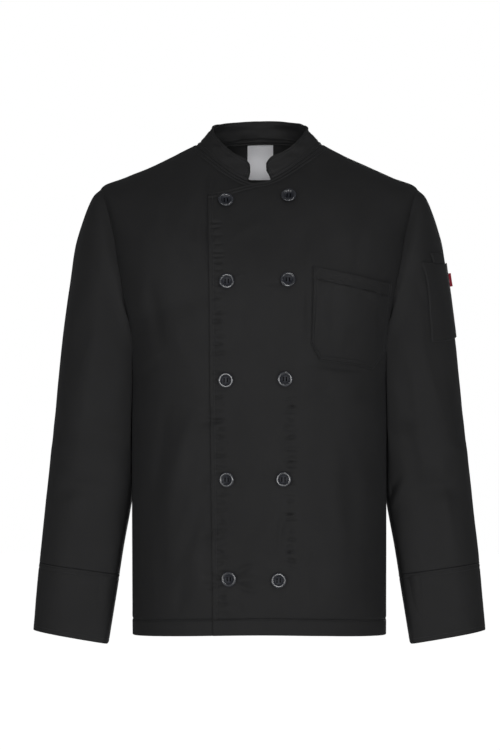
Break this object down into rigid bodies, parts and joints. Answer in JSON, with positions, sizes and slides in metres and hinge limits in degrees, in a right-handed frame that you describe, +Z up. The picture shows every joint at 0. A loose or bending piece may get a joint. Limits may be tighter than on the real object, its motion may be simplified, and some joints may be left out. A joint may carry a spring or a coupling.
{
  "type": "chef jacket",
  "caption": "Long-sleeved, double-breasted chef jacket in dark twill with a stand collar, a chest pocket and a sleeve pocket, filled out as if worn.",
  "frame": {"origin": "middle of the neck, at the height of the shoulder seams' neck ends, where the wearer's neck and shoulders hold the jacket", "axes": "+Z up along the body, -Y towards the front, +X towards the wearer's left arm"},
  "size_m": [0.6586, 0.2689, 0.7602],
  "materials": {
    "charcoal_twill": "matte two-by-one twill, near-black charcoal",
    "red_tape": "woven tape, crimson",
    "label_satin": "plain grey satin",
    "button_resin": "polished blue-black resin"
  },
  "bodies": {
    "root": {"back": "charcoal_twill", "front_left": "charcoal_twill", "front_right": "charcoal_twill", "sleeve_left": "charcoal_twill", "sleeve_right": "charcoal_twill", "cuff_left": "charcoal_twill", "cuff_right": "charcoal_twill", "collar": "charcoal_twill", "chest_pocket": "charcoal_twill", "sleeve_pocket": "charcoal_twill", "pen_band": "charcoal_twill", "side_tab": "red_tape", "neck_label": "label_satin", "button_1": "button_resin", "button_2": "button_resin", "button_3": "button_resin", "button_4": "button_resin", "button_5": "button_resin", "button_6": "button_resin", "button_7": "button_resin", "button_8": "button_resin", "button_9": "button_resin", "button_10": "button_resin"}
  },
  "joints": []
}
